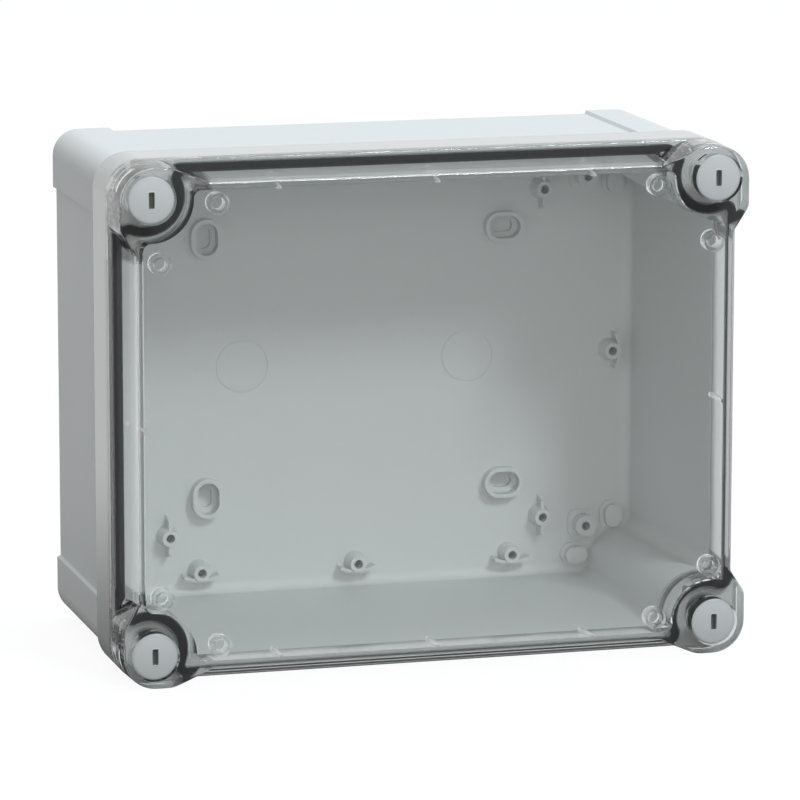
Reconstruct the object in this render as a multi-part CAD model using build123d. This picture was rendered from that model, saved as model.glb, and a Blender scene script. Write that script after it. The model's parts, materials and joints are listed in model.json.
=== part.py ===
from build123d import *
from math import radians, sqrt, tan
import os

# The enclosure is modelled lying on its back. X is its width, Y its height, and Z runs
# from the feet on its back to the front of its clear cover. Every piece is stood up as
# it is written, so that the cover faces -Y and the box stands on its long lower side.
# All sizes are in millimetres.

# Overall size
width = 241.0
height = 194.0
depth = 127.0
cover_depth = 22.0
corner_radius = 13.0
lock_inset = 12.5

# Base shell, outside
collar_height = 21.5
collar_edge = 0.6
body_inset = 2.5
body_radius = 10.0
panel_recess = 1.25
panel_ramp = 0.8
foot_length = 22.0
foot_height = 1.5
foot_corner = 4.0
back_edge = 1.2

# Base shell, inside
rim_width = 7.75
floor_thickness = 4.0
floor_blend = 4.0
root_depth = 1.5
column_mouth_radius = 15.5
column_floor_radius = 12.5
column_blend = 5.0
column_core_radius = 8.0
ledge_thickness = 4.0

# Wall fixings: a collar round a stepped pocket, closed by a membrane to be knocked out
fixing_x = 60.0
fixing_y = 51.0
fixing_length = 12.6
fixing_width = 9.0
fixing_wall = 1.5
fixing_height = 4.5
seat_thickness = 3.5
shank_length = 8.6
shank_width = 5.2
membrane_thickness = 1.2

# Raised pads for outside brackets, each on a low plinth beside a corner column
bracket_reach = 17.5
bracket_offset = 2.5
bracket_length = 9.0
bracket_width = 6.4
bracket_height = 4.0
plinth_height = 1.0

# Screw bosses on the floor
boss_foot_radius = 4.4
boss_top_radius = 3.2
boss_height = 6.5
rib_top_reach = 6.6
rib_foot_reach = 8.4
rib_thickness = 1.2
rib_drop = 0.8
wing_offset = 3.0
wing_bend = 17.0
wing_reach = 7.0
pilot_radius = 1.75
pilot_extra = 2.0
plate_boss_x = 75.5
plate_boss_y = 65.5
rail_boss_x = 63.0
rail_boss_y = 80.0
side_boss_x = 104.0
corner_boss_radius = 4.2
corner_boss_offset = 14.6
corner_plinth_size = 11.4
corner_plinth_blend = 3.0

# Round ejector marks in the floor, each a shallow ring
ejector_radius = 10.6
ejector_line = 0.7
ejector_depth = 0.3
ejector_x = 45.5

# Seal between the two shells
seal_inset = 3.5
seal_radius = 13.0
seal_blend = 3.0
groove_width = 4.2
groove_depth = 3.2
gasket_play = 0.1
tongue_width = 1.4
tongue_height = 1.2

# Clear cover
flange_thickness = 4.5
flange_edge = 0.6
window_inset = 5.1
window_draft = 5.4
window_radius = 4.0
panel_thickness = 3.0
cover_wall = 3.0
housing_draft = 2.0
side_flare_start = 11.2
side_flare_angle = 33.0
side_flare_blend = 6.0
long_flare_start = 7.0
long_flare_angle = 23.0
long_flare_blend = 12.0
flare_depth = 8.5
front_edge = 0.8
post_radius = 16.0
post_blend = 3.0
post_core_radius = 9.0
stiffener_pitch = 60.0
stiffener_reach = 2.5
stiffener_thickness = 1.5
peg_radius = 4.0
peg_bore_radius = 2.4
peg_height = 5.0
peg_far = 23.9
peg_far_low = 21.0
peg_near = 2.3
peg_shift = 1.3

# Quarter-turn lock
head_radius = 8.75
head_recess = 0.4
head_dome = 0.7
head_edge = 0.5
head_play = 0.35
cup_depth = 7.5
cup_floor_thickness = 3.0
slot_length = 6.0
slot_width = 2.2
slot_depth = 2.6
lock_shank_radius = 4.0
shank_play = 0.3
ring_section = 1.4
ring_radius = 5.6
ring_play = 0.05
clip_thickness = 1.2
clip_radius = 6.2
clip_groove_depth = 0.8
clip_groove_play = 0.05
clip_gap = 0.3
clip_opening = 5.0
lug_reach = 6.3
lug_width = 4.0
lug_height = 3.0
lug_play = 0.3
tip_length = 2.0
tip_radius = 2.6

# Places that follow from the sizes
joint_z = depth - cover_depth
collar_z = joint_z - collar_height
floor_z = foot_height + floor_thickness
body_x = width / 2 - body_inset
body_y = height / 2 - body_inset
inner_x = width / 2 - rim_width
inner_y = height / 2 - rim_width
lock_x = width / 2 - lock_inset
lock_y = height / 2 - lock_inset
ledge_z = joint_z - ledge_thickness
flange_z = joint_z + flange_thickness
panel_z = depth - panel_thickness
cup_z = depth - cup_depth
cup_under_z = cup_z - cup_floor_thickness
window_x = width / 2 - window_inset
window_y = height / 2 - window_inset
head_z = depth - head_recess
head_under_z = cup_z + ring_section + 2 * ring_play
clip_top_z = cup_under_z - clip_gap
clip_low_z = clip_top_z - clip_thickness
peg_z = panel_z - peg_height
lug_top_z = ledge_z - lug_play
lug_low_z = lug_top_z - lug_height

SIDES = (-1, 1)
LOCKS = {
    "top_left": (-1, 1),
    "top_right": (1, 1),
    "bottom_left": (-1, -1),
    "bottom_right": (1, -1),
}
QUARTERS = list(LOCKS.values())
RISING = (Align.CENTER, Align.CENTER, Align.MIN)


def disc(radius, low, high):
    """A round bar about Z between two heights."""
    return Pos(0, 0, low) * Cylinder(radius, high - low, align=RISING)


def slab(outline, low, high):
    """An outline carried straight up between two heights."""
    return extrude(Pos(0, 0, low) * outline, amount=high - low, dir=(0, 0, 1))


def at_locks(shape):
    """The shape once on each lock's axis."""
    return [Pos(sx * lock_x, sy * lock_y) * shape for sx, sy in QUARTERS]


def window_half(half, level):
    """Half the window's width or height at a level, on its drafted outer side."""
    return half - (level - flange_z) * tan(radians(window_draft))


def blend_creases(solid, blend):
    """Round the upright inner corners that the bars round the locks leave in a hollow."""
    tall = solid.bounding_box().size.Z
    creases = solid.edges().filter_by(lambda edge: edge.bounding_box().size.Z > tall / 2)
    return fillet(creases, blend)


def seal_band(band_width):
    """A band along the seal's path, which passes inside each lock."""
    path = Rectangle(width - 2 * seal_inset, height - 2 * seal_inset)
    for bite in at_locks(Circle(seal_radius)):
        path -= bite
    path = fillet(path.vertices(), seal_blend)
    return offset(path, amount=band_width / 2) - offset(path, amount=-band_width / 2)


def side_panel(half_length, half_across):
    """The shallow recess in one side, with a ramp at each end."""
    start = half_length - foot_length
    bottom = half_across - panel_recess
    beyond = half_across + panel_recess
    points = [
        (-start, beyond),
        (-start, half_across),
        (panel_ramp - start, bottom),
        (start - panel_ramp, bottom),
        (start, half_across),
        (start, beyond),
    ]
    return make_face(Polyline(*points, close=True))


def base_outside():
    """Body with recessed side panels, four corner feet and the proud collar."""
    outline = RectangleRounded(2 * body_x, 2 * body_y, body_radius)
    for turn in (0, 180):
        outline -= Rot(0, 0, turn) * side_panel(body_x, body_y)
        outline -= Rot(0, 0, turn + 90) * side_panel(body_y, body_x)
    body = slab(outline, 0, joint_z)
    body = fillet(body.edges().group_by(Axis.Z)[0], back_edge)
    collar = slab(RectangleRounded(width, height, corner_radius), collar_z, joint_z)
    collar = fillet(collar.edges().group_by(Axis.Z)[0], collar_edge)
    across = Rectangle(width, 2 * (body_y - foot_length))
    upright = Rectangle(2 * (body_x - foot_length), height)
    cross = across + upright
    from_middle = cross.vertices().sort_by(lambda corner: abs(corner.X) + abs(corner.Y))
    cross = fillet(from_middle[: len(QUARTERS)], foot_corner)
    return body + collar - slab(cross, 0, foot_height)


def base_hollow():
    """The inside of the base, narrowed at each corner by a tapering lock column."""
    hollow = slab(Rectangle(2 * inner_x, 2 * inner_y), floor_z, joint_z)
    column = Cone(column_floor_radius, column_mouth_radius, joint_z - floor_z, align=RISING)
    hollow -= at_locks(Pos(0, 0, floor_z) * column)
    hollow = blend_creases(hollow, column_blend)
    return fillet(hollow.edges().group_by(Axis.Z)[0], floor_blend)


def lock_socket():
    """What is cut from a column: its core, open at the back, and the keyed entry."""
    core = disc(column_core_radius, 0, ledge_z)
    entry = disc(lock_shank_radius + shank_play, ledge_z, joint_z)
    key = Rectangle(lug_width + 2 * lug_play, 2 * (lug_reach + lug_play))
    return core + entry + slab(key, ledge_z, joint_z)


def oblong(length, breadth, wall=0.0):
    """A round-ended outline along X, grown by a wall."""
    return SlotOverall(length + 2 * wall, breadth + 2 * wall)


def fixing_places():
    """Wall fixings: upright on the left and level on the right, as moulded."""
    turns = {-1: 90, 1: 0}
    return [Pos(sx * fixing_x, sy * fixing_y) * Rot(0, 0, turns[sx]) for sx, sy in QUARTERS]


def bracket_places():
    """Two small collars beside each corner column, one along each wall."""
    places = []
    for sx, sy in QUARTERS:
        beside_x = lock_x - bracket_offset
        beside_y = lock_y - bracket_reach
        places.append(Pos(sx * beside_x, sy * beside_y) * Rot(0, 0, 90))
        below_x = lock_x - bracket_reach
        below_y = lock_y - bracket_offset
        places.append(Pos(sx * below_x, sy * below_y))
    return places


def plate_boss_places():
    """Bosses with a straight rib, which stands upright."""
    return [Pos(sx * plate_boss_x, sy * plate_boss_y) * Rot(0, 0, 90) for sx, sy in QUARTERS]


def wall_boss_places():
    """Bosses along the four walls, each turned so that its wing is on the wall's side."""
    turns = {1: 0, -1: 180}
    places = [Pos(sx * rail_boss_x, sy * rail_boss_y) * Rot(0, 0, turns[sy]) for sx, sy in QUARTERS]
    places += [Pos(0, sy * rail_boss_y) * Rot(0, 0, turns[sy]) for sy in SIDES]
    places += [Pos(sx * side_boss_x, 0) * Rot(0, 0, -90 * sx) for sx in SIDES]
    return places


def corner_boss_places():
    """Plain round bosses on the diagonal inside each column."""
    reach_x = lock_x - corner_boss_offset
    reach_y = lock_y - corner_boss_offset
    return [Pos(sx * reach_x, sy * reach_y) for sx, sy in QUARTERS]


def boss_post():
    """A post that narrows upwards, with a straight root in the floor."""
    root = disc(boss_foot_radius, floor_z - root_depth, floor_z)
    return root + Pos(0, 0, floor_z) * Cone(boss_foot_radius, boss_top_radius, boss_height, align=RISING)


def plate_boss():
    """A post with a straight rib through it, sloped at its ends."""
    top_z = floor_z + boss_height - rib_drop
    points = [
        (-rib_foot_reach, floor_z),
        (rib_foot_reach, floor_z),
        (rib_top_reach, top_z),
        (-rib_top_reach, top_z),
    ]
    face = Plane.XZ * make_face(Polyline(*points, close=True))
    return boss_post() + extrude(face, amount=rib_thickness / 2, both=True)


def wall_boss():
    """A post with a bent wing on its +Y side, which curls round it."""
    wing = Circle(wing_bend + rib_thickness / 2) - Circle(wing_bend - rib_thickness / 2)
    wing = Pos(0, wing_offset - wing_bend) * wing
    ends = Pos(0, wing_offset) * Rectangle(2 * wing_reach, 2 * wing_offset)
    return boss_post() + slab(wing & ends, floor_z - root_depth, floor_z + boss_height - rib_drop)


def pilot_hole():
    """The blind hole in a boss, which ends inside the floor."""
    return disc(pilot_radius, floor_z - pilot_extra, floor_z + boss_height)


def base_shell():
    """The grey base, one moulding."""
    shell = base_outside() - base_hollow()
    root_z = floor_z - root_depth
    plinth_z = floor_z + plinth_height
    collar = slab(oblong(fixing_length, fixing_width, fixing_wall), root_z, floor_z + fixing_height)
    bracket = slab(oblong(bracket_length, bracket_width), root_z, floor_z + bracket_height)
    bracket += slab(oblong(bracket_length, bracket_width, fixing_wall), root_z, plinth_z)
    corner_plinth = RectangleRounded(corner_plinth_size, corner_plinth_size, corner_plinth_blend)
    corner_boss = disc(corner_boss_radius, root_z, floor_z + boss_height)
    corner_boss += slab(corner_plinth, root_z, plinth_z)
    shell += [place * collar for place in fixing_places()]
    shell += [place * bracket for place in bracket_places()]
    shell += [place * plate_boss() for place in plate_boss_places()]
    shell += [place * wall_boss() for place in wall_boss_places()]
    shell += [place * corner_boss for place in corner_boss_places()]
    shell += slab(seal_band(tongue_width), joint_z, joint_z + tongue_height)

    seat_z = foot_height + seat_thickness
    membrane_z = foot_height + membrane_thickness
    seat = slab(oblong(fixing_length, fixing_width), seat_z, floor_z + fixing_height)
    shank = slab(oblong(shank_length, shank_width), membrane_z, seat_z)
    mark = disc(ejector_radius, floor_z - ejector_depth, floor_z)
    mark -= disc(ejector_radius - ejector_line, floor_z - ejector_depth, floor_z)
    pilots = plate_boss_places() + wall_boss_places() + corner_boss_places()
    shell -= [place * (seat + shank) for place in fixing_places()]
    shell -= [place * pilot_hole() for place in pilots]
    shell -= [Pos(sx * ejector_x, 0) * mark for sx in SIDES]
    shell -= at_locks(lock_socket())
    return shell


def corner_housing():
    """The block round the lock in the +X +Y corner, flared back to the window."""
    long_start = lock_x - long_flare_start
    long_end = long_start - flare_depth / tan(radians(long_flare_angle))
    side_start = lock_y - side_flare_start
    side_end = side_start - flare_depth / tan(radians(side_flare_angle))
    points = [
        (long_end, side_end),
        (width / 2 - flare_depth, side_end),
        (width / 2, side_start),
        (width / 2, height / 2),
        (long_start, height / 2),
        (long_end, height / 2 - flare_depth),
    ]
    outline = make_face(Polyline(*points, close=True))
    outer = outline.vertices().sort_by(lambda v: v.X + v.Y)[-1]
    outline = fillet(outer, corner_radius)
    bend = outline.vertices().sort_by_distance((long_start, height / 2))[0]
    outline = fillet(bend, long_flare_blend)
    bend = outline.vertices().sort_by_distance((width / 2, side_start))[0]
    outline = fillet(bend, side_flare_blend)
    return extrude(Pos(0, 0, flange_z) * outline, amount=depth - flange_z, taper=housing_draft)


def cover_outside():
    """Flange, drafted window block and four corner housings."""
    flange = slab(RectangleRounded(width, height, corner_radius), joint_z, flange_z)
    flange = fillet(flange.edges().group_by(Axis.Z)[-1], flange_edge)
    window = Pos(0, 0, flange_z) * RectangleRounded(2 * window_x, 2 * window_y, window_radius)
    block = extrude(window, amount=depth - flange_z, taper=window_draft)
    housing = corner_housing()
    right = housing + mirror(housing, about=Plane.XZ)
    outside = flange + block + right + mirror(right, about=Plane.YZ)
    front = outside.edges().group_by(Axis.Z)[-1]
    return fillet(front, front_edge)


def cover_hollow():
    """The drafted inside of the cover, narrowed at each corner by a lock post."""
    half_x = window_half(window_x, joint_z) - cover_wall
    half_y = window_half(window_y, joint_z) - cover_wall
    mouth = Pos(0, 0, joint_z) * Rectangle(2 * half_x, 2 * half_y)
    hollow = extrude(mouth, amount=panel_z - joint_z, taper=window_draft)
    hollow -= at_locks(disc(post_radius, joint_z, panel_z))
    return blend_creases(hollow, post_blend)


def stiffeners(hollow):
    """Thin upright ribs on the inside of the cover's walls."""
    tall = panel_z - flange_z
    rib_x = window_half(window_x, joint_z) - cover_wall
    rib_y = window_half(window_y, joint_z) - cover_wall
    ribs = []
    for sy in SIDES:
        for step in (-1, 0, 1):
            rib = Box(stiffener_thickness, 2 * stiffener_reach, tall, align=RISING)
            ribs.append(Pos(step * stiffener_pitch, sy * rib_y, flange_z) * rib)
    for sx in SIDES:
        rib = Box(2 * stiffener_reach, stiffener_thickness, tall, align=RISING)
        ribs.append(Pos(sx * rib_x, 0, flange_z) * rib)
    return [rib & hollow for rib in ribs]


def peg_places():
    """Two hollow pegs beside each lock, one along each wall, set a little to the right."""
    fars = {1: peg_far, -1: peg_far_low}
    places = []
    for sx, sy in QUARTERS:
        places.append(Pos(sx * (lock_x - peg_far) + peg_shift, sy * (lock_y - peg_near)))
        places.append(Pos(sx * (lock_x - peg_near) + peg_shift, sy * (lock_y - fars[sy])))
    return places


def cover_shell():
    """The clear cover, one moulding."""
    hollow = cover_hollow()
    shell = cover_outside() - hollow
    shell += stiffeners(hollow)
    peg = disc(peg_radius, peg_z, panel_z) - disc(peg_bore_radius, peg_z, panel_z)
    shell += [place * peg for place in peg_places()]
    cup = disc(head_radius + head_play, cup_z, depth)
    bore = disc(lock_shank_radius + shank_play, cup_under_z, cup_z)
    core = disc(post_core_radius, joint_z, cup_under_z)
    shell -= at_locks(cup + bore + core)
    return shell - slab(seal_band(groove_width), joint_z, joint_z + groove_depth)


def cover_gasket():
    """The soft seal that lies in the cover's groove and meets the base's tongue."""
    band = seal_band(groove_width - 2 * gasket_play)
    return slab(band, joint_z + tongue_height, joint_z + groove_depth)


def lock_screw():
    """Domed head with a driver slot, necked shank and two lugs along Y."""
    tip_z = lug_low_z - tip_length
    shoulder_z = head_z - head_dome
    groove_radius = lock_shank_radius - clip_groove_depth
    groove_low = clip_low_z - clip_groove_play
    groove_high = clip_top_z + clip_groove_play
    points = [
        (0, head_z),
        (0, tip_z),
        (tip_radius, tip_z),
        (lock_shank_radius, lug_low_z),
        (lock_shank_radius, groove_low),
        (groove_radius, groove_low),
        (groove_radius, groove_high),
        (lock_shank_radius, groove_high),
        (lock_shank_radius, head_under_z),
        (head_radius, head_under_z),
        (head_radius, shoulder_z),
    ]
    dome_radius = (head_radius ** 2 + head_dome ** 2) / (2 * head_dome)
    half = head_radius / 2
    half_z = head_z - dome_radius + sqrt(dome_radius ** 2 - half ** 2)
    dome = ThreePointArc((head_radius, shoulder_z), (half, half_z), (0, head_z))
    profile = make_face((Polyline(*points) + dome).edges())
    profile = fillet(profile.vertices().sort_by_distance((head_radius, shoulder_z, 0))[0], head_edge)
    body = revolve(Plane.XZ * profile, axis=Axis.Z)
    lugs = Pos(0, 0, lug_low_z) * Box(lug_width, 2 * lug_reach, lug_height, align=RISING)
    body += lugs & disc(lug_reach, lug_low_z, lug_top_z)
    slot = Pos(0, 0, head_z - slot_depth) * Box(slot_width, slot_length, slot_depth, align=RISING)
    return body - slot


def lock_ring():
    """The round seal under a lock's head."""
    level = cup_z + ring_play + ring_section / 2
    return Pos(0, 0, level) * Torus(ring_radius, ring_section / 2)


def lock_clip():
    """The open spring clip that keeps a lock in the cover."""
    seat = lock_shank_radius - clip_groove_depth + clip_groove_play
    clip = disc(clip_radius, clip_low_z, clip_top_z) - disc(seat, clip_low_z, clip_top_z)
    mouth = Pos(clip_radius, 0, clip_low_z) * Box(2 * clip_radius, clip_opening, clip_thickness, align=RISING)
    return clip - mouth


def stand_up(shape):
    """Turn a piece from lying on its back to standing, and centre the box."""
    return Pos(0, depth / 2, height / 2) * Rot(90, 0, 0) * shape


def write(node, shape):
    """Write one piece under its node's name."""
    export_step(stand_up(shape), f"parts/{node}.step")


def main():
    """Build and write every piece."""
    os.makedirs("parts", exist_ok=True)
    write("base_shell", base_shell())
    write("cover_shell", cover_shell())
    write("cover_gasket", cover_gasket())
    screw = lock_screw()
    ring = lock_ring()
    clip = lock_clip()
    for corner, (sx, sy) in LOCKS.items():
        place = Pos(sx * lock_x, sy * lock_y)
        write(f"lock_screw_{corner}", place * screw)
        write(f"lock_ring_{corner}", place * ring)
        write(f"lock_clip_{corner}", place * clip)


main()
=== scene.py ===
import json
import logging
from dataclasses import dataclass
from enum import Enum
from math import pi, radians, sqrt

import bpy
import numpy as np
from mathutils import Matrix, Vector


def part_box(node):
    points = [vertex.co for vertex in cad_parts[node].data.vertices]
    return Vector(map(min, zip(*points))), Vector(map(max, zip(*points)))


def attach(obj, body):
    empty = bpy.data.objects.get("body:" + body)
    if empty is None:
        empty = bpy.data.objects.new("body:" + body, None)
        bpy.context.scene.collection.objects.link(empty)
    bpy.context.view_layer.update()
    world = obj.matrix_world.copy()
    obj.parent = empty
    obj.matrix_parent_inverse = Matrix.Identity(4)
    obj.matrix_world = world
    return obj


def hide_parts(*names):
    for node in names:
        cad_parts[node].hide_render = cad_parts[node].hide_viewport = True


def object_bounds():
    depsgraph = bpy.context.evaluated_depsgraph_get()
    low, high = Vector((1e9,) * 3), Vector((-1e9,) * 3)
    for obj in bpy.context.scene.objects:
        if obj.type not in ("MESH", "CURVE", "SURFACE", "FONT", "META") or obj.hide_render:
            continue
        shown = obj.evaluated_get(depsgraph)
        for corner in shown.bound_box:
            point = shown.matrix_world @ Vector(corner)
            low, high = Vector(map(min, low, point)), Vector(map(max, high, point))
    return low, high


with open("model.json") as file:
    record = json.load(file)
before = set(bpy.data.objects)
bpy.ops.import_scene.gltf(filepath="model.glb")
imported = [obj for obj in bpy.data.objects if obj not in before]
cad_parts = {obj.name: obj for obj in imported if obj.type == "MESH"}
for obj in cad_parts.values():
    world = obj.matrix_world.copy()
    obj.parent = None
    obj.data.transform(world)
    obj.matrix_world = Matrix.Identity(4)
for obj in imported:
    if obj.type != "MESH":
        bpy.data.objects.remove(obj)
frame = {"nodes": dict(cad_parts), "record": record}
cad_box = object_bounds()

log = logging.getLogger("enclosure")

MM = 0.001


class Corner(Enum):
    """The four locks' places, by their words in the names of nodes and bodies."""

    TOP_LEFT = "top_left"
    TOP_RIGHT = "top_right"
    BOTTOM_LEFT = "bottom_left"
    BOTTOM_RIGHT = "bottom_right"


def centre_of(node: str) -> Vector:
    """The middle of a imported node's box at rest."""
    low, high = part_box(node)
    return (low + high) / 2


def across_and_up(place: Vector) -> tuple[float, float]:
    """A place's X and Z to a hundredth of a millimetre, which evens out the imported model's facets."""
    return round(place.x / MM, 2) * MM, round(place.z / MM, 2) * MM


def box_middle() -> Vector:
    """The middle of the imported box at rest."""
    return (Vector(cad_box[0]) + Vector(cad_box[1])) / 2


def box_reach() -> Vector:
    """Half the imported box's width, depth and height."""
    return (Vector(cad_box[1]) - Vector(cad_box[0])) / 2


def behind_front(depths: tuple[float, float]) -> tuple[float, float]:
    """Two places along Y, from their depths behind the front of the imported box."""
    return cad_box[0][1] + depths[0], cad_box[0][1] + depths[1]


class Sheet:
    """A grid of points that closes on itself where told to, made a mesh in one go."""

    def __init__(self, points: np.ndarray, round_u: bool, round_v: bool = False) -> None:
        """Keep a grid of points.

        Args:
            points: array of rows, columns and three coordinates, in metres.
            round_u: whether the last column joins the first.
            round_v: whether the last row joins the first.
        """
        self.points = points
        self.round_u = round_u
        self.round_v = round_v

    def quads(self) -> np.ndarray:
        """Corner numbers of each four-sided face.

        Row i and column j meet row i + 1 and column j + 1, wrapped where the grid is round.

        Returns:
            Array of faces by four corner numbers.
        """
        rows, columns = self.points.shape[:2]
        i = np.arange(rows if self.round_v else rows - 1)[:, None]
        j = np.arange(columns if self.round_u else columns - 1)[None, :]
        i_next = (i + 1) % rows
        j_next = (j + 1) % columns
        corners = [i * columns + j, i * columns + j_next, i_next * columns + j_next, i_next * columns + j]
        return np.stack([np.broadcast_to(c, (i.size, j.size)) for c in corners], axis=-1).reshape(-1, 4)


def mesh_object(name: str, sheets: list[Sheet], caps: bool = True) -> bpy.types.Object:
    """One object from several grids, with a cap on each open row end.

    Args:
        name: the piece's name.
        sheets: grids of points in metres.
        caps: whether the first and last row of an open grid are closed by a face.

    Returns:
        The new object, linked and smooth.
    """
    verts, faces, start = [], [], 0
    for sheet in sheets:
        rows, columns = sheet.points.shape[:2]
        verts.append(sheet.points.reshape(-1, 3))
        faces += (sheet.quads() + start).tolist()
        if caps and not sheet.round_v:
            faces.append(list(range(start + columns - 1, start - 1, -1)))
            last = start + (rows - 1) * columns
            faces.append(list(range(last, last + columns)))
        start += rows * columns
    mesh = bpy.data.meshes.new(name)
    mesh.from_pydata(np.concatenate(verts).tolist(), [], faces)
    mesh.validate()
    mesh.shade_smooth()
    piece = bpy.data.objects.new(name, mesh)
    bpy.context.scene.collection.objects.link(piece)
    return piece


class Tree:
    """Short ways to add and join shader nodes in one node tree."""

    def __init__(self, nodes_of: bpy.types.NodeTree) -> None:
        """Keep the tree that new nodes go into."""
        self.tree = nodes_of

    def add(self, kind: str, **values: object) -> bpy.types.Node:
        """A new node with its attributes set.

        Args:
            kind: Blender's type name without the words ShaderNode.
            **values: attributes of the node.

        Returns:
            The node.
        """
        node = self.tree.nodes.new("ShaderNode" + kind)
        for key, value in values.items():
            setattr(node, key, value)
        return node

    def join(self, source: bpy.types.NodeSocket, target: bpy.types.NodeSocket) -> None:
        """A link from an output to an input."""
        self.tree.links.new(source, target)

    def feed(self, node: bpy.types.Node, values: tuple) -> None:
        """Link or set a node's inputs in order.

        Args:
            node: the node.
            values: a socket or a constant for each input.
        """
        for socket, value in zip(node.inputs, values):
            if isinstance(value, bpy.types.NodeSocket):
                self.join(value, socket)
            else:
                socket.default_value = value

    def math(self, operation: str, first: object, second: object = 0.0,
             third: object = 0.0) -> bpy.types.NodeSocket:
        """A Math node.

        Args:
            operation: Blender's name of the operation.
            first: a socket or a number.
            second: a socket or a number.
            third: a socket or a number.

        Returns:
            The node's output.
        """
        node = self.add("Math", operation=operation)
        self.feed(node, (first, second, third))
        return node.outputs[0]

    def vector(self, operation: str, first: object,
               second: object = (0.0, 0.0, 0.0)) -> bpy.types.NodeSocket:
        """A Vector Math node that puts out a vector.

        Args:
            operation: Blender's name of the operation.
            first: a socket or a vector.
            second: a socket or a vector.

        Returns:
            The node's output.
        """
        node = self.add("VectorMath", operation=operation)
        self.feed(node, (first, second))
        return node.outputs[0]

    def scaled(self, vector: bpy.types.NodeSocket, factor: bpy.types.NodeSocket) -> bpy.types.NodeSocket:
        """A vector or colour times a factor.

        Args:
            vector: the vector or colour.
            factor: the number that it is multiplied by.

        Returns:
            The product's socket.
        """
        node = self.add("VectorMath", operation="SCALE")
        self.join(vector, node.inputs[0])
        self.join(factor, node.inputs["Scale"])
        return node.outputs[0]

    def split(self, vector: bpy.types.NodeSocket) -> bpy.types.Node:
        """A node whose outputs X, Y and Z are a vector's coordinates.

        Args:
            vector: the vector.

        Returns:
            The node.
        """
        node = self.add("SeparateXYZ")
        self.join(vector, node.inputs[0])
        return node

    def smooth(self, value: bpy.types.NodeSocket, ends: tuple[float, float],
               levels: tuple[float, float] = (0.0, 1.0)) -> bpy.types.NodeSocket:
        """A smooth step of a value.

        Args:
            value: the value.
            ends: where the step starts and ends.
            levels: what it puts out before and after.

        Returns:
            The step's socket.
        """
        node = self.add("MapRange", interpolation_type="SMOOTHSTEP")
        self.join(value, node.inputs["Value"])
        for label, number in zip(("From Min", "From Max", "To Min", "To Max"), (*ends, *levels)):
            node.inputs[label].default_value = number
        return node.outputs["Result"]

    def largest(self, *values: object) -> bpy.types.NodeSocket:
        """The largest of several sockets or numbers.

        Args:
            *values: the first is a socket.

        Returns:
            The socket of the largest.
        """
        result = values[0]
        for value in values[1:]:
            result = self.math("MAXIMUM", result, value)
        return result

    def either(self, factor: bpy.types.NodeSocket, plain: float,
               other: bpy.types.NodeSocket) -> bpy.types.NodeSocket:
        """A number where a factor is nought, and another socket's where it is one.

        Args:
            factor: from nought to one.
            plain: the number for nought.
            other: the socket for one.

        Returns:
            The mix's socket.
        """
        node = self.add("Mix", data_type="FLOAT")
        self.join(factor, node.inputs["Factor"])
        node.inputs["A"].default_value = plain
        self.join(other, node.inputs["B"])
        return node.outputs["Result"]

    def blended(self, factor: bpy.types.NodeSocket, first: bpy.types.Node,
                second: bpy.types.Node) -> bpy.types.Node:
        """A mix of two shaders.

        Args:
            factor: nought for the first, one for the second.
            first: the first shader's node.
            second: the second shader's node.

        Returns:
            The Mix Shader node.
        """
        node = self.add("MixShader")
        self.join(factor, node.inputs[0])
        self.join(first.outputs[0], node.inputs[1])
        self.join(second.outputs[0], node.inputs[2])
        return node

    def noise(self, vector: bpy.types.NodeSocket, scale: float, detail: float,
              rough: float = 0.5) -> bpy.types.NodeSocket:
        """The value of a Noise Texture.

        Args:
            vector: where it is read.
            scale: how many bumps lie in a metre.
            detail: how many finer layers are added.
            rough: how strong the finer layers are.

        Returns:
            The value's socket.
        """
        node = self.add("TexNoise")
        self.join(vector, node.inputs["Vector"])
        node.inputs["Scale"].default_value = scale
        node.inputs["Detail"].default_value = detail
        node.inputs["Roughness"].default_value = rough
        return node.outputs["Fac"]


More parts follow.
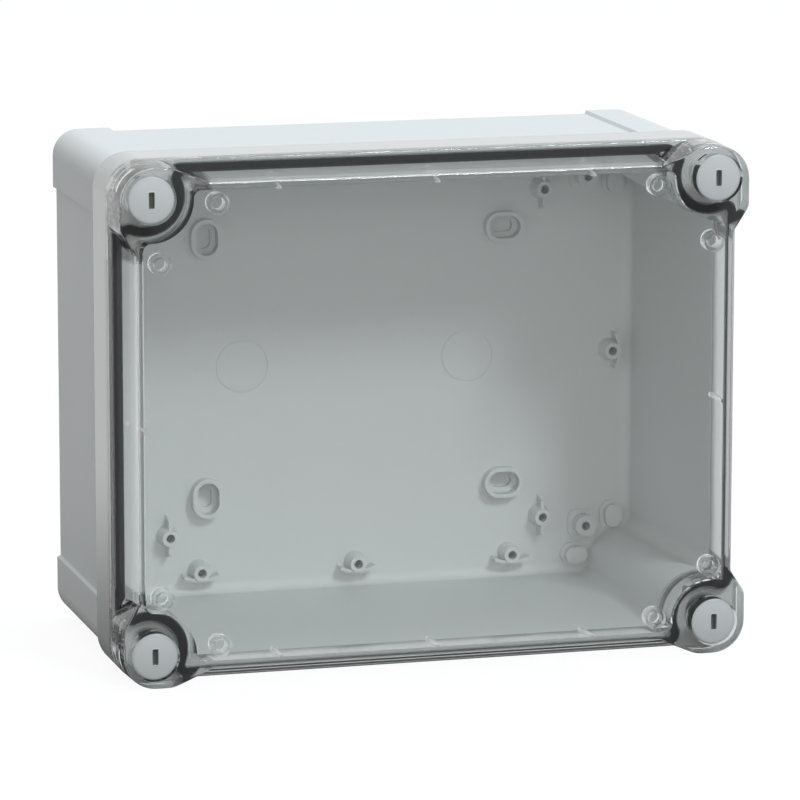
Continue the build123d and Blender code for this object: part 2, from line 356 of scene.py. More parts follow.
@dataclass(frozen=True)
class SkinPattern:
    """What every moulded or rubber skin shares, as one shader group.

    Fine grain is a noise at the grain's own scale. Flow is a slow noise, as left by the melt. Dust is a
    slow noise raised to a power, so that it gathers in patches. Colour is the input colour times one plus
    flow, paled by dust. Roughness is the input roughness plus shares of flow and dust. Height is grain plus
    a share of flow.
    """

    grain_detail: float = 3.0
    flow_scale: float = 14.0
    flow_detail: float = 2.0
    flow_roughness: float = 0.12
    flow_height: float = 0.6
    dust_scale: float = 38.0
    dust_detail: float = 6.0
    dust_layers: float = 0.62
    dust_power: float = 3.0
    dust_roughness: float = 0.5
    dust_colour: tuple[float, float, float] = (0.62, 0.61, 0.58)

    def sockets(self, group: bpy.types.NodeTree) -> None:
        """Name the group's inputs and outputs.

        Args:
            group: the empty group.
        """
        face = group.interface
        face.new_socket("Vector", in_out="INPUT", socket_type="NodeSocketVector")
        face.new_socket("Colour", in_out="INPUT", socket_type="NodeSocketColor")
        for label in ("Roughness", "Grain Scale", "Flow", "Dust"):
            face.new_socket(label, in_out="INPUT", socket_type="NodeSocketFloat")
        face.new_socket("Colour", in_out="OUTPUT", socket_type="NodeSocketColor")
        for label in ("Roughness", "Height"):
            face.new_socket(label, in_out="OUTPUT", socket_type="NodeSocketFloat")

    def build(self) -> bpy.types.NodeTree:
        """Make the group.

        Returns:
            The group, with named inputs and outputs.
        """
        group = bpy.data.node_groups.new("moulded_skin", "ShaderNodeTree")
        self.sockets(group)
        tree = Tree(group)
        given = group.nodes.new("NodeGroupInput")
        out = group.nodes.new("NodeGroupOutput")
        vector = given.outputs["Vector"]

        grain = tree.add("TexNoise")
        tree.join(vector, grain.inputs["Vector"])
        tree.join(given.outputs["Grain Scale"], grain.inputs["Scale"])
        grain.inputs["Detail"].default_value = self.grain_detail
        flow = tree.math("SUBTRACT", tree.noise(vector, self.flow_scale, self.flow_detail), 0.5)
        cloud = tree.noise(vector, self.dust_scale, self.dust_detail, self.dust_layers)
        patch = tree.math("POWER", cloud, self.dust_power)
        dust = tree.math("MULTIPLY", patch, given.outputs["Dust"])

        shade = tree.math("MULTIPLY_ADD", flow, given.outputs["Flow"], 1.0)
        pale = tree.add("Mix", data_type="RGBA")
        tree.join(dust, pale.inputs["Factor"])
        tree.join(tree.scaled(given.outputs["Colour"], shade), pale.inputs["A"])
        pale.inputs["B"].default_value = (*self.dust_colour, 1.0)
        tree.join(pale.outputs["Result"], out.inputs["Colour"])

        rough = tree.math("MULTIPLY_ADD", flow, self.flow_roughness, given.outputs["Roughness"])
        tree.join(tree.math("MULTIPLY_ADD", dust, self.dust_roughness, rough), out.inputs["Roughness"])
        height = tree.math("MULTIPLY_ADD", flow, self.flow_height, grain.outputs["Fac"])
        tree.join(height, out.inputs["Height"])
        return group


def new_material(name: str) -> tuple[bpy.types.Material, Tree, bpy.types.Node, bpy.types.Node]:
    """An empty node material.

    Args:
        name: the material's name.

    Returns:
        The material, its tree, its Principled node and its output node.
    """
    material = bpy.data.materials.new(name)
    material.use_nodes = True
    tree = Tree(material.node_tree)
    nodes = material.node_tree.nodes
    return material, tree, nodes["Principled BSDF"], nodes["Material Output"]


@dataclass(frozen=True)
class GlossBand:
    """A glossy clear band round the front of the box, on its outermost skin, a rounded rectangle.

    At a point (x, z) from the middle, d = |max(|x| - a + r, 0), max(|z| - b + r, 0)| - r is the distance
    outside the outline, where a and b are half the box's width and height. The band lies where d rises
    between the two skins, and fades out between its two depths behind the box's front.
    """

    radius: float
    skins: tuple[float, float]
    depths: tuple[float, float]
    roughness: float
    ior: float
    tint: float

    def mask(self, tree: Tree, place: bpy.types.NodeSocket) -> bpy.types.NodeSocket:
        """One inside the band and nought elsewhere.

        Args:
            tree: the material's tree.
            place: the point on the surface.

        Returns:
            The mask's socket.
        """
        flat = tree.vector("MULTIPLY", tree.vector("SUBTRACT", place, box_middle()), (1.0, 0.0, 1.0))
        reach = box_reach()
        inner = (reach.x - self.radius, 0.0, reach.z - self.radius)
        over = tree.vector("SUBTRACT", tree.vector("ABSOLUTE", flat), inner)
        length = tree.add("VectorMath", operation="LENGTH")
        tree.join(tree.vector("MAXIMUM", over, (0.0, 0.0, 0.0)), length.inputs[0])
        ends = (self.radius + self.skins[0], self.radius + self.skins[1])
        near = tree.smooth(length.outputs["Value"], ends)
        front = tree.smooth(tree.split(place).outputs["Y"], behind_front(self.depths), (1.0, 0.0))
        return tree.math("MULTIPLY", near, front)

    def dress(self, tree: Tree, place: bpy.types.NodeSocket, shader: bpy.types.Node) -> None:
        """Lay the band on a Principled shader as its coat.

        Args:
            tree: the material's tree.
            place: the point on the surface.
            shader: the Principled node.
        """
        tree.join(self.mask(tree, place), shader.inputs["Coat Weight"])
        shader.inputs["Coat Roughness"].default_value = self.roughness
        shader.inputs["Coat IOR"].default_value = self.ior
        shader.inputs["Coat Tint"].default_value = (self.tint, self.tint, self.tint, 1.0)


@dataclass(frozen=True)
class MouldedSkin:
    """An opaque finish: moulded plastic or rubber with a fine grain.

    Where a recess is given, the colour falls to a set share of itself between its two depths behind
    the box's front: painted shade, darker deeper in, as in a driver slot.
    """

    name: str
    colour: tuple[float, float, float]
    roughness: float
    grain_size: float
    grain_depth: float
    flow: float = 0.02
    dust: float = 0.08
    specular: float = 0.5
    shade_share: float = 0.3
    recess: tuple[float, float] | None = None
    band: GlossBand | None = None

    def build(self, skin: bpy.types.NodeTree) -> bpy.types.Material:
        """Make the material.

        Args:
            skin: the shared group of moulded skins.

        Returns:
            The material.
        """
        material, tree, shader, _ = new_material(self.name)
        place = tree.add("TexCoord").outputs["Object"]
        look = tree.add("Group", node_tree=skin)
        tree.join(place, look.inputs["Vector"])
        look.inputs["Colour"].default_value = (*self.colour, 1.0)
        look.inputs["Roughness"].default_value = self.roughness
        look.inputs["Grain Scale"].default_value = 1 / self.grain_size
        look.inputs["Flow"].default_value = self.flow
        look.inputs["Dust"].default_value = self.dust
        bump = tree.add("Bump")
        bump.inputs["Strength"].default_value = 1.0
        bump.inputs["Distance"].default_value = self.grain_depth
        tree.join(look.outputs["Height"], bump.inputs["Height"])
        colour = look.outputs["Colour"]
        # Painted shade: where a recess is given, the colour darkens with depth behind the box's front.
        if self.recess:
            depth = tree.split(place).outputs["Y"]
            colour = tree.scaled(colour, tree.smooth(depth, behind_front(self.recess), (1.0, self.shade_share)))
        tree.join(colour, shader.inputs["Base Color"])
        tree.join(look.outputs["Roughness"], shader.inputs["Roughness"])
        tree.join(bump.outputs["Normal"], shader.inputs["Normal"])
        shader.inputs["Specular IOR Level"].default_value = self.specular
        if self.band:
            self.band.dress(tree, place, shader)
        return material


@dataclass(frozen=True)
class ClearSkin:
    """Clear moulded plastic that lets lamps through to what it covers, with a satin haze on its walls.

    A corner has no haze. It reaches as far in from the box's sides as corner says, across and upright.
    """

    name: str
    colour: tuple[float, float, float]
    ior: float
    roughness: float
    shadow: float
    ripple_size: float
    ripple_depth: float
    haze: float
    corner: tuple[float, float]
    soft: float = 2 * MM
    facing: tuple[float, float] = (0.6, 0.9)

    def haze_mask(self, tree: Tree, place: bpy.types.NodeSocket) -> bpy.types.NodeSocket:
        """The share of haze, on walls that run to the back.

        It fades out on a wall as the size of its normal's Y rises between the two facings, and where both
        |x| and |z| pass into a corner.

        Args:
            tree: the material's tree.
            place: the point on the surface.

        Returns:
            The mask's socket.
        """
        normal = tree.add("NewGeometry").outputs["True Normal"]
        toward = tree.split(tree.vector("ABSOLUTE", normal)).outputs["Y"]
        wall = tree.smooth(toward, self.facing, (self.haze, 0.0))
        way = tree.split(tree.vector("ABSOLUTE", tree.vector("SUBTRACT", place, box_middle())))
        across, up = box_reach().x - self.corner[0], box_reach().z - self.corner[1]
        past_x = tree.smooth(way.outputs["X"], (across, across + self.soft))
        past_z = tree.smooth(way.outputs["Z"], (up, up + self.soft))
        return tree.math("MULTIPLY", wall, tree.math("SUBTRACT", 1.0, tree.math("MULTIPLY", past_x, past_z)))

    def build(self) -> bpy.types.Material:
        """Make the material.

        It is a Principled glass with a share of haze, and a Transparent shader for lamp and diffuse rays.

        Returns:
            The material.
        """
        material, tree, shader, out = new_material(self.name)
        shader.inputs["Base Color"].default_value = (*self.colour, 1.0)
        shader.inputs["Roughness"].default_value = self.roughness
        shader.inputs["IOR"].default_value = self.ior
        shader.inputs["Transmission Weight"].default_value = 1.0
        place = tree.add("TexCoord").outputs["Object"]
        bump = tree.add("Bump")
        bump.inputs["Distance"].default_value = self.ripple_depth
        tree.join(tree.noise(place, 1 / self.ripple_size, detail=1.0), bump.inputs["Height"])
        tree.join(bump.outputs["Normal"], shader.inputs["Normal"])
        satin = tree.add("BsdfTranslucent")
        satin.inputs["Color"].default_value = (*self.colour, 1.0)
        body = tree.blended(self.haze_mask(tree, place), shader, satin)
        path = tree.add("LightPath")
        clear = tree.add("BsdfTransparent")
        clear.inputs["Color"].default_value = (self.shadow, self.shadow, self.shadow, 1.0)
        through = tree.largest(path.outputs["Is Shadow Ray"], path.outputs["Is Diffuse Ray"])
        tree.join(tree.blended(through, body, clear).outputs[0], out.inputs["Surface"])
        return material


@dataclass(frozen=True)
class Lamp:
    """A square soft lamp that faces the box. One that isn't mirrored shows in no gloss or clear cover."""

    name: str
    place: tuple[float, float, float]
    size: float
    power: float
    tint: tuple[float, float, float]
    mirrored: bool = True
    target: tuple[float, float, float] = (0.0, 0.0, 0.1)

    def hang(self) -> None:
        """Add the lamp to the scene."""
        data = bpy.data.lights.new(self.name, "AREA")
        data.size = self.size
        data.energy = self.power
        data.color = self.tint
        holder = bpy.data.objects.new(self.name, data)
        holder.location = self.place
        holder.visible_glossy = self.mirrored
        holder.visible_transmission = self.mirrored
        aim = Vector(self.target) - Vector(self.place)
        holder.rotation_euler = aim.to_track_quat("-Z", "Y").to_euler()
        bpy.context.scene.collection.objects.link(holder)


def turned(axis: str, angle: float) -> np.ndarray:
    """The matrix of a turn by an angle in degrees about an axis."""
    return np.array(Matrix.Rotation(radians(angle), 3, axis))


@dataclass(frozen=True)
class Studio:
    """White sweep, soft lamps and a camera at the photograph's viewing angle."""

    focal_pixels: float = 5233.42
    image_pixels: float = 800.0
    sensor: float = 36.0
    far: float = 50.0
    pan: float = -15.656
    tilt: float = 10.615
    roll: float = 0.037
    front_in_view: tuple[float, float, float] = (14.612, 6.068, 1929.966)
    lamps: tuple[Lamp, ...] = (
        Lamp("key", (0.8, -2.0, 1.85), 0.5, 27.7, (0.906, 0.954, 1.0)),
        Lamp("overhead", (0.35, 0.35, 2.2), 1.3, 19.1, (0.796, 0.88, 1.0)),
        Lamp("front", (-0.3, -2.4, 0.65), 0.9, 9.8, (1.0, 0.94, 0.95), mirrored=False),
    )
    fill: float = 0.561
    room_dim: float = 0.06
    back_fade: tuple[float, float] = (-0.35, 0.35)
    side_fade: tuple[float, float] = (0.45, 0.8)
    top_fade: tuple[float, float] = (0.4, 0.75)
    floor_across: tuple[float, float] = (-3.0, 3.0)
    floor_along: tuple[float, float] = (-0.45, 4.0)
    floor_fade: tuple[float, float] = (-0.1, 0.4)
    floor_grey: float = 0.22
    floor_roughness: float = 0.8
    floor_specular: float = 0.1
    floor_glow: float = 1.54
    floor_share: float = 0.6

    def camera(self) -> None:
        """Place the camera.

        A point p, measured from the middle of the cover's front, is seen at R p + t, where t is
        front_in_view. R turns by pan about the upright, then by tilt, then by roll, after the axes are
        renamed to right, down and away.
        """
        renamed = np.array(((1, 0, 0), (0, 0, -1), (0, 1, 0)), float)
        seen = turned("Z", self.roll) @ turned("X", self.tilt) @ turned("Y", self.pan) @ renamed
        low, high = cad_box
        front = np.array(((low[0] + high[0]) / 2, low[1], (low[2] + high[2]) / 2))
        eye = front - seen.T @ (np.array(self.front_in_view) * MM)
        data = bpy.data.cameras.new("camera")
        data.sensor_width = self.sensor
        data.lens = self.focal_pixels / self.image_pixels * self.sensor
        data.clip_end = self.far
        holder = bpy.data.objects.new("camera", data)
        bpy.context.scene.collection.objects.link(holder)
        axes = np.stack((seen[0], -seen[1], -seen[2]), axis=1)
        pose = Matrix(axes.tolist()).to_4x4()
        pose.translation = Vector(eye.tolist())
        holder.matrix_world = pose
        bpy.context.scene.camera = holder

    def world(self) -> None:
        """A white sweep all round, a dim room behind the camera, and a soft fill, as felt by matt surfaces.

        The camera sees white, and so do rays that come through the clear cover. Mirrored rays see the sweep's
        white where they run back, sideways or up, and fade to the room's grey as they turn to the front: the
        largest of a smooth step of Y, of the size of X, and of Z.
        """
        world = bpy.data.worlds.new("room")
        bpy.context.scene.world = world
        world.use_nodes = True
        tree = Tree(world.node_tree)
        backdrop = world.node_tree.nodes["Background"]
        backdrop.inputs["Color"].default_value = (1.0, 1.0, 1.0, 1.0)
        path = tree.add("LightPath")
        way = tree.split(tree.add("TexCoord").outputs["Generated"])
        levels = (self.room_dim, 1.0)
        white = tree.largest(
            tree.smooth(way.outputs["Y"], self.back_fade, levels),
            tree.smooth(tree.math("ABSOLUTE", way.outputs["X"]), self.side_fade, levels),
            tree.smooth(way.outputs["Z"], self.top_fade, levels),
            path.outputs["Is Transmission Ray"],
        )
        bent = tree.largest(path.outputs["Is Glossy Ray"], path.outputs["Is Transmission Ray"])
        strength = tree.largest(tree.either(bent, self.fill, white), path.outputs["Is Camera Ray"])
        tree.join(strength, backdrop.inputs["Strength"])

    def floor(self) -> None:
        """A white floor that keeps a soft shadow.

        Its mirror image fades towards the room's grey in front of the box. A ray that came through the cover
        is both glossy and transmitted, so a mirrored one is glossy less transmitted.
        """
        x, y = np.meshgrid(np.array(self.floor_across), np.array(self.floor_along))
        points = np.stack((x, y, np.zeros_like(x)), axis=-1)
        floor = mesh_object("floor", [Sheet(points, round_u=False)], caps=False)
        material, tree, shader, out = new_material("floor_white")
        shader.inputs["Base Color"].default_value = (self.floor_grey, self.floor_grey, self.floor_grey, 1.0)
        shader.inputs["Roughness"].default_value = self.floor_roughness
        shader.inputs["Specular IOR Level"].default_value = self.floor_specular
        path = tree.add("LightPath")
        way = tree.split(tree.add("TexCoord").outputs["Object"])
        through = path.outputs["Is Transmission Ray"]
        mirrored = tree.largest(tree.math("SUBTRACT", path.outputs["Is Glossy Ray"], through), 0.0)
        image = tree.smooth(way.outputs["Y"], self.floor_fade, (self.room_dim, 1.0))
        glow = tree.add("Emission")
        tree.join(tree.either(mirrored, self.floor_glow, image), glow.inputs["Strength"])
        seen = tree.largest(path.outputs["Is Camera Ray"], through)
        share = tree.largest(tree.math("MULTIPLY", seen, self.floor_share), mirrored)
        tree.join(tree.blended(share, shader, glow).outputs[0], out.inputs["Surface"])
        floor.data.materials.append(material)

    def build(self) -> None:
        """Set the studio up."""
        self.camera()
        for lamp in self.lamps:
            lamp.hang()
        self.world()
        self.floor()
        view = bpy.context.scene.view_settings
        view.view_transform = "Standard"


@dataclass(frozen=True)
class Finishes:
    """Every finish on the box, by the part that has it."""

    base: MouldedSkin = MouldedSkin(
        "base_abs", colour=(0.65, 0.68, 0.67), roughness=0.5, grain_size=0.5 * MM, grain_depth=0.008 * MM,
        specular=0.26,
        band=GlossBand(radius=13 * MM, skins=(-1.2 * MM, -0.4 * MM), depths=(43.1 * MM, 43.7 * MM),
                       roughness=0.03, ior=1.45, tint=0.72))
    cover: ClearSkin = ClearSkin(
        "cover_clear", colour=(0.97, 0.985, 0.985), ior=1.585, roughness=0.01, shadow=0.93,
        ripple_size=30 * MM, ripple_depth=0.02 * MM, haze=0.32, corner=(36.5 * MM, 37 * MM))
    gasket: MouldedSkin = MouldedSkin(
        "gasket_rubber", colour=(0.052, 0.055, 0.056), roughness=0.5, grain_size=0.3 * MM,
        grain_depth=0.01 * MM, dust=0.02, specular=0.4)
    # The lock's colour darkens between its two recess depths: painted shade in the driver slot.
    lock: MouldedSkin = MouldedSkin(
        "lock_plastic", colour=(0.54, 0.575, 0.575), roughness=0.36, grain_size=0.35 * MM,
        grain_depth=0.004 * MM, recess=(1.1 * MM, 2.5 * MM))
    ring: MouldedSkin = MouldedSkin(
        "ring_rubber", colour=(0.012, 0.012, 0.0125), roughness=0.4, grain_size=0.3 * MM,
        grain_depth=0.003 * MM)
    clip: MouldedSkin = MouldedSkin(
        "clip_acetal", colour=(0.72, 0.72, 0.68), roughness=0.32, grain_size=0.4 * MM,
        grain_depth=0.003 * MM)

    def build(self) -> dict[str, bpy.types.Material]:
        """Make every material.

        Returns:
            Materials by the record's slot.
        """
        skin = SkinPattern().build()
        moulded = (self.base, self.gasket, self.lock, self.ring, self.clip)
        made = {finish.name: finish.build(skin) for finish in moulded}
        made[self.cover.name] = self.cover.build()
        return made


def finish_piece(piece: bpy.types.Object, body: str, node: str, slot: str,
                 materials: dict[str, bpy.types.Material]) -> None:
    """Dress a new piece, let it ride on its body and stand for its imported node.

    Args:
        piece: the new piece.
        body: the body that it moves with.
        node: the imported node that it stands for.
        slot: the record's slot that its finish comes from.
        materials: materials by slot.
    """
    piece.data.materials.append(materials[slot])
    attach(piece, body)
    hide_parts(node)
    log.info("%s stands for %s with %d faces", piece.name, node, len(piece.data.polygons))


def once_round(steps: int) -> np.ndarray:
    """Equal steps of angle once round, without the last that meets the first."""
    return np.linspace(0, 2 * pi, steps, endpoint=False)


def rounded_outline(angles: np.ndarray, half_x: float, half_z: float, power: float) -> np.ndarray:
    """A rounded rectangle: x = a sign(cos t) |cos t|^(2/n) and z = b sign(sin t) |sin t|^(2/n).

    Args:
        angles: the values of t.
        half_x: a, half the width.
        half_z: b, half the height.
        power: n, 2 for an ellipse and more for squarer corners.

    Returns:
        Array of points by two coordinates.
    """
    c, s = np.cos(angles), np.sin(angles)
    x = half_x * np.sign(c) * np.abs(c) ** (2 / power)
    z = half_z * np.sign(s) * np.abs(s) ** (2 / power)
    return np.stack((x, z), axis=-1)


def arc(centre: tuple[float, float], radius: float, start: float, end: float, count: int) -> np.ndarray:
    """Points on an arc: centre + radius (cos t, sin t).

    Args:
        centre: the arc's centre.
        radius: its radius.
        start: its first angle, in radians.
        end: its last angle.
        count: how many points it has.

    Returns:
        Array of points by two coordinates.
    """
    angle = np.linspace(start, end, count)
    return np.stack((centre[0] + radius * np.cos(angle), centre[1] + radius * np.sin(angle)), axis=-1)


@dataclass(frozen=True)
class Lock:
    """A quarter-turn lock: slotted head, shank with two lugs, round seal and spring clip.

    Depths are measured from the top of the head towards the back. slot_floor gives each ring of the slot's
    floor as a share of the slot's outline and a lift above its deepest place. lug_rows gives each section of
    the lug bar as a share of its reach and of its thickness. clip_ends gives those of the clip's first end
    as a share of the way and of the thickness, and clip_turn is the angle by which each end falls short.
    """

    corner: Corner
    steps: int = 144
    head_radius: float = 8.75 * MM
    head_dome: float = 1.1 * MM
    head_edge: float = 0.5 * MM
    head_depth: float = 5.6 * MM
    head_rows: int = 21
    edge_rows: int = 7
    slot_half_x: float = 1.1 * MM
    slot_half_z: float = 3.0 * MM
    slot_depth: float = 2.6 * MM
    slot_power: float = 9.0
    slot_rim: float = 0.16 * MM
    slot_rim_rows: int = 6
    slot_floor: tuple[tuple[float, float], ...] = (
        (0.4, 0.0), (0.8, 0.0), (0.94, 0.05 * MM), (0.99, 0.15 * MM), (1.0, 0.3 * MM))
    shank_radius: float = 4.0 * MM
    shank_round: float = 0.15 * MM
    neck_radius: float = 3.2 * MM
    neck_depths: tuple[float, float] = (10.35 * MM, 11.65 * MM)
    lug_reach: float = 6.3 * MM
    lug_half_x: float = 2.0 * MM
    lug_depths: tuple[float, float] = (25.9 * MM, 28.9 * MM)
    lug_power: float = 8.0
    lug_steps: int = 48
    lug_rows: tuple[tuple[float, float], ...] = (
        (-1.0, 0.9), (-0.985, 0.97), (-0.94, 1.0), (-0.5, 1.0), (0.0, 1.0),
        (0.5, 1.0), (0.94, 1.0), (0.985, 0.97), (1.0, 0.9))
    tip_radius: float = 2.6 * MM
    tip_depth: float = 30.9 * MM
    ring_radius: float = 5.6 * MM
    ring_section: float = 0.7 * MM
    ring_steps: int = 24
    clip_radii: tuple[float, float] = (3.25 * MM, 6.2 * MM)
    clip_half_gap: float = 2.5 * MM
    clip_turn: float = 0.02
    clip_power: float = 7.0
    clip_steps: int = 40
    clip_rows: int = 60
    clip_span: tuple[float, float] = (0.03, 0.97)
    clip_ends: tuple[tuple[float, float], ...] = ((0.0, 0.8), (0.004, 0.93), (0.012, 1.0))

    def node(self, kind: str) -> str:
        """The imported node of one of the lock's pieces."""
        return f"lock_{kind}_{self.corner.value}"

    def circle(self) -> np.ndarray:
        """Points once round a circle of radius one."""
        t = once_round(self.steps)
        return np.stack((np.cos(t), np.sin(t)), axis=-1)

    def head_rings(self) -> tuple[list[np.ndarray], list[np.ndarray]]:
        """Rings over the head, from the slot's floor to the head's round edge.

        The slot's outline S(t) is shrunk for its floor and kept for its wall. A quarter round opens its rim.
        Then the ring goes straight from S(t) to the circle C(t), and its depth is dome (r / R) squared. The
        edge is a quarter round.

        Returns:
            Ring points across and up, and each ring's depth.
        """
        slot = rounded_outline(once_round(self.steps), self.slot_half_x, self.slot_half_z, self.slot_power)
        circle = self.circle()
        outward = slot / np.linalg.norm(slot, axis=1, keepdims=True)
        rings, depths = [], []
        for share, lift in self.slot_floor:
            rings.append(slot * share)
            depths.append(np.full(self.steps, self.slot_depth - lift))
        for turn in np.linspace(0, pi / 2, self.slot_rim_rows):
            rings.append(slot + outward * self.slot_rim * (1 - np.cos(turn)))
            depths.append(np.full(self.steps, self.slot_rim * (1 - np.sin(turn))))
        rim = rings[-1]
        edge_start = self.head_radius - self.head_edge
        for way in np.linspace(0, 1, self.head_rows + 1)[1:]:
            ring = rim * (1 - way) + circle * edge_start * way
            rings.append(ring)
            depths.append(self.head_dome * (np.linalg.norm(ring, axis=1) / self.head_radius) ** 2)
        for turn in np.linspace(0, pi / 2, self.edge_rows + 1)[1:]:
            rings.append(circle * (edge_start + self.head_edge * np.sin(turn)))
            depths.append(np.full(self.steps, self.head_dome + self.head_edge * (1 - np.cos(turn))))
        return rings, depths

    def shank_rings(self) -> tuple[list[np.ndarray], list[np.ndarray]]:
        """Rings from the head's side to the tip: a stepped profile (radius, depth) turned about the axis.

        Returns:
            Ring points across and up, and each ring's depth.
        """
        small = self.shank_round
        neck_top, neck_end = self.neck_depths
        profile = (
            (self.head_radius, self.head_depth / 2),
            (self.head_radius, self.head_depth - 2 * small),
            (self.head_radius - small, self.head_depth - small / 2),
            (self.head_radius - 3 * small, self.head_depth),
            (self.shank_radius + small, self.head_depth),
            (self.shank_radius, self.head_depth + small),
            (self.shank_radius, neck_top - small),
            (self.shank_radius - small, neck_top),
            (self.neck_radius, neck_top),
            (self.neck_radius, neck_end),
            (self.shank_radius - small, neck_end),
            (self.shank_radius, neck_end + small),
            (self.shank_radius, self.lug_depths[0]),
            (self.shank_radius, self.lug_depths[1]),
            (self.tip_radius + small, self.tip_depth - small),
            (self.tip_radius - small, self.tip_depth),
            (self.tip_radius / 2, self.tip_depth),
        )
        rings = [self.circle() * radius for radius, _ in profile]
        depths = [np.full(self.steps, depth) for _, depth in profile]
        return rings, depths

    def place(self, across: np.ndarray, up: np.ndarray, depth: np.ndarray) -> np.ndarray:
        """Points on the lock's axis frame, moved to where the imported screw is.

        Args:
            across: distances from the axis to the right.
            up: distances from the axis upwards.
            depth: distances behind the top of the head.

        Returns:
            Array of points by three coordinates.
        """
        low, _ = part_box(self.node("screw"))
        centre = centre_of(self.node("screw"))
        return np.stack((centre.x + across, low.y + depth, centre.z + up), axis=-1)

    def depth_of(self, kind: str) -> float:
        """How far the middle of one of the lock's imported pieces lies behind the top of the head."""
        return centre_of(self.node(kind)).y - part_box(self.node("screw"))[0].y

    def screw(self) -> bpy.types.Object:
        """The screw: one closed skin from the slot's floor to the tip, and a bar for the two lugs.

        The bar's cross-section is a rounded rectangle, and its ends lie on a circle round the axis:
        up = v sqrt(L^2 - x^2).

        Returns:
            The screw's object.
        """
        head_rings, head_depths = self.head_rings()
        shank_rings, shank_depths = self.shank_rings()
        rings = np.array(head_rings + shank_rings)
        depths = np.array(head_depths + shank_depths)
        body = Sheet(self.place(rings[..., 0], rings[..., 1], depths), round_u=True)
        middle = sum(self.lug_depths) / 2
        half_depth = (self.lug_depths[1] - self.lug_depths[0]) / 2
        section = rounded_outline(once_round(self.lug_steps), self.lug_half_x, half_depth, self.lug_power)
        length, shrink = np.array(self.lug_rows).T[:, :, None]
        across = section[None, :, 0] * shrink
        up = length * np.sqrt(self.lug_reach ** 2 - across ** 2)
        depth = middle + section[None, :, 1] * shrink
        lugs = Sheet(self.place(across, up, depth), round_u=True)
        return mesh_object(f"screw_{self.corner.value}", [body, lugs])

    def ring(self) -> bpy.types.Object:
        """The round seal, a torus: r = R + s cos v, depth = middle - s sin v.

        Returns:
            The seal's object.
        """
        v, u = np.meshgrid(once_round(self.ring_steps), once_round(self.steps), indexing="ij")
        radius = self.ring_radius + self.ring_section * np.cos(v)
        depth = self.depth_of("ring") - self.ring_section * np.sin(v)
        points = self.place(radius * np.cos(u), radius * np.sin(u), depth)
        return mesh_object(f"ring_{self.corner.value}", [Sheet(points, round_u=True, round_v=True)])

    def clip(self) -> bpy.types.Object:
        """The spring clip: a rounded strip bent round the neck, open on one side, with softened ends.

        The strip's cross-section is carried from one end of the gap to the other: r = R + w(t), at angle v.

        Returns:
            The clip's object.
        """
        low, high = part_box(self.node("clip"))
        inner, outer = self.clip_radii
        middle = (inner + outer) / 2
        start = np.arcsin(self.clip_half_gap / middle) + self.clip_turn
        ends, shares = np.array(self.clip_ends).T
        both = np.concatenate((ends, 1 - ends[::-1]))
        way = np.concatenate((ends, np.linspace(*self.clip_span, self.clip_rows), 1 - ends[::-1]))
        shrink = np.interp(way, both, np.concatenate((shares, shares[::-1])))[:, None]
        angle = (start + way * (2 * pi - 2 * start))[:, None]
        half = ((outer - inner) / 2, (high.y - low.y) / 2)
        section = rounded_outline(once_round(self.clip_steps), *half, self.clip_power)
        radius = middle + section[None, :, 0] * shrink
        depth = self.depth_of("clip") + section[None, :, 1] * shrink
        points = self.place(radius * np.cos(angle), radius * np.sin(angle), depth)
        return mesh_object(f"clip_{self.corner.value}", [Sheet(points, round_u=True)])

    def build(self, materials: dict[str, bpy.types.Material]) -> None:
        """Make the lock's pieces, dress them and let them ride on the lock's body.

        Args:
            materials: materials by slot.
        """
        made = (
            (self.screw(), "screw", "lock_plastic"),
            (self.ring(), "ring", "ring_rubber"),
            (self.clip(), "clip", "clip_acetal"),
        )
        for piece, kind, slot in made:
            finish_piece(piece, f"lock_{self.corner.value}", self.node(kind), slot, materials)


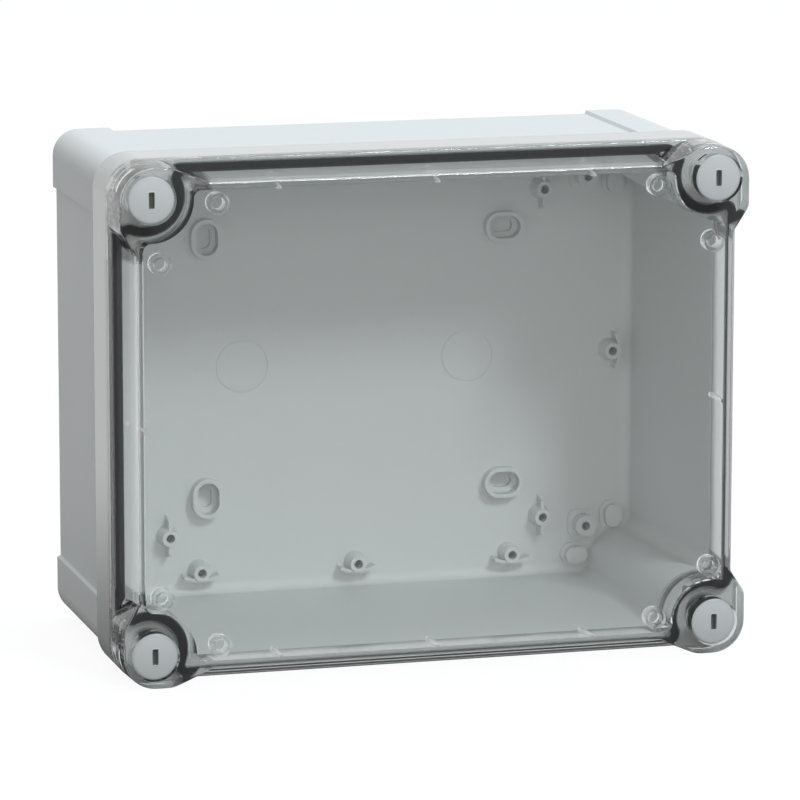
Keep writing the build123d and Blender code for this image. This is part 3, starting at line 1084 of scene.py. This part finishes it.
@dataclass(frozen=True)
class Gasket:
    """The soft seal in the cover's groove, squeezed down over the base's tongue.

    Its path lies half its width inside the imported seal's box, and passes inside each lock on a circle. The
    corner is how far each round of its cross-section reaches. A round's middle point lies the round_side
    share of that in from the side and the round_end share in from the end, and the dent's mouth opens by the
    dent_mouth share.
    """

    node: str = "cover_gasket"
    lock_node: str = "lock_screw_top_right"
    lock_radius: float = 13.0 * MM
    blend: float = 3.0 * MM
    half_width: float = 2.0 * MM
    shoulder: float = 0.9 * MM
    dent_half: float = 0.85 * MM
    dent_crown: float = 0.02 * MM
    dent_mouth: float = 0.2
    corner: float = 0.45 * MM
    round_side: float = 0.3
    round_end: float = 0.1
    run_steps: int = 40
    blend_steps: int = 14
    lock_steps: int = 56

    def reach(self) -> tuple[float, float]:
        """How far the path lies from the seal's middle, across and up."""
        low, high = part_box(self.node)
        across, up = across_and_up((high - low) / 2)
        return across - self.half_width, up - self.half_width

    def quarter(self) -> np.ndarray:
        """The path through the upper right quarter, from the right side's middle to the top's middle.

        A straight run, an arc of the blend, an arc round the lock in the other sense, an arc of the blend,
        and a straight run. A blend touches the straight run and the lock's circle, so its centre is the blend
        inside the run and the two radii from the lock.

        Returns:
            Array of points across and up.
        """
        edge_x, edge_z = self.reach()
        lock_x, lock_z = across_and_up(centre_of(self.lock_node) - centre_of(self.node))
        both = self.lock_radius + self.blend
        side = edge_x - self.blend
        top = edge_z - self.blend
        low = lock_z - sqrt(both ** 2 - (side - lock_x) ** 2)
        left = lock_x - sqrt(both ** 2 - (top - lock_z) ** 2)
        turn_low = np.arctan2(lock_z - low, lock_x - side)
        turn_left = np.arctan2(lock_z - top, lock_x - left)
        up = np.linspace(0, low, self.run_steps, endpoint=False)
        across = np.linspace(left, 0, self.run_steps + 1)[1:-1]
        return np.concatenate((
            np.stack((np.full_like(up, edge_x), up), axis=-1),
            arc((side, low), self.blend, 0.0, turn_low, self.blend_steps),
            arc((lock_x, lock_z), self.lock_radius, turn_low - pi, turn_left - pi, self.lock_steps)[1:-1],
            arc((left, top), self.blend, turn_left, pi / 2, self.blend_steps),
            np.stack((across, np.full_like(across, edge_z)), axis=-1),
        ))

    def path(self) -> np.ndarray:
        """The whole closed path: the quarter, and its mirror images in order.

        Returns:
            Array of points across and up.
        """
        quarter = self.quarter()
        back = quarter[1:][::-1]
        top = np.array(((0.0, self.reach()[1]),))
        flip_x, flip_z = np.array((-1.0, 1.0)), np.array((1.0, -1.0))
        return np.concatenate((quarter, top, back * flip_x, quarter * -1.0, -top, back * flip_z))

    def section(self) -> np.ndarray:
        """The cross-section across the path and towards the front.

        It has a flat front, sides, and a back with a dent along its middle that the tongue presses.

        Returns:
            Array of points: distance across the path, and distance in front of the joint.
        """
        low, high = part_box(self.node)
        front = high.y - low.y
        back = -self.shoulder
        w, c, d = self.half_width, self.corner, self.dent_half
        side, end, mouth = c * self.round_side, c * self.round_end, c * self.dent_mouth
        half = np.array((
            (0.0, front), (w - c, front), (w - side, front - end), (w, front - c), (w, front / 2),
            (w, back + c), (w - side, back + end), (w - c, back), (d + c, back), (d + mouth, back + mouth),
            (d, back + c), (d, 0.0), (d / 2, self.dent_crown),
        ))
        return np.concatenate((half, half[::-1][:-1] * np.array((-1.0, 1.0))))

    def build(self, materials: dict[str, bpy.types.Material]) -> None:
        """Carry the cross-section along the path: point = path + normal times the distance across.

        Args:
            materials: materials by slot.
        """
        path = self.path()
        along = np.roll(path, -1, axis=0) - np.roll(path, 1, axis=0)
        along /= np.linalg.norm(along, axis=1, keepdims=True)
        normal = np.stack((along[:, 1], -along[:, 0]), axis=-1)
        section = self.section()
        _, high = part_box(self.node)
        centre = centre_of(self.node)
        spot = path[:, None, :] + normal[:, None, :] * section[None, :, :1]
        depth = np.broadcast_to(high.y - section[None, :, 1], spot.shape[:2])
        points = np.stack((centre.x + spot[..., 0], depth, centre.z + spot[..., 1]), axis=-1)
        seal = mesh_object("seal", [Sheet(points[::-1], round_u=True, round_v=True)])
        finish_piece(seal, "cover", self.node, "gasket_rubber", materials)


@dataclass(frozen=True)
class Shells:
    """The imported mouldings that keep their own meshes."""

    nodes: tuple[str, ...] = ("base_shell", "cover_shell")

    def build(self, materials: dict[str, bpy.types.Material]) -> None:
        """Give each shell the material of its slot.

        Args:
            materials: materials by slot.
        """
        slots = {part["node"]: part["material_slot"] for part in frame["record"]["subparts"]}
        for name in self.nodes:
            shell = frame["nodes"][name]
            shell.data.materials.clear()
            shell.data.materials.append(materials[slots[name]])
            log.info("%s dressed with %s", name, slots[name])


def main() -> None:
    """Build the studio and dress the enclosure."""
    logging.basicConfig(level=logging.INFO, format="%(name)s: %(message)s")
    Studio().build()
    materials = Finishes().build()
    Shells().build(materials)
    Gasket().build(materials)
    for corner in Corner:
        Lock(corner).build(materials)


if __name__ == "__main__":
    main()
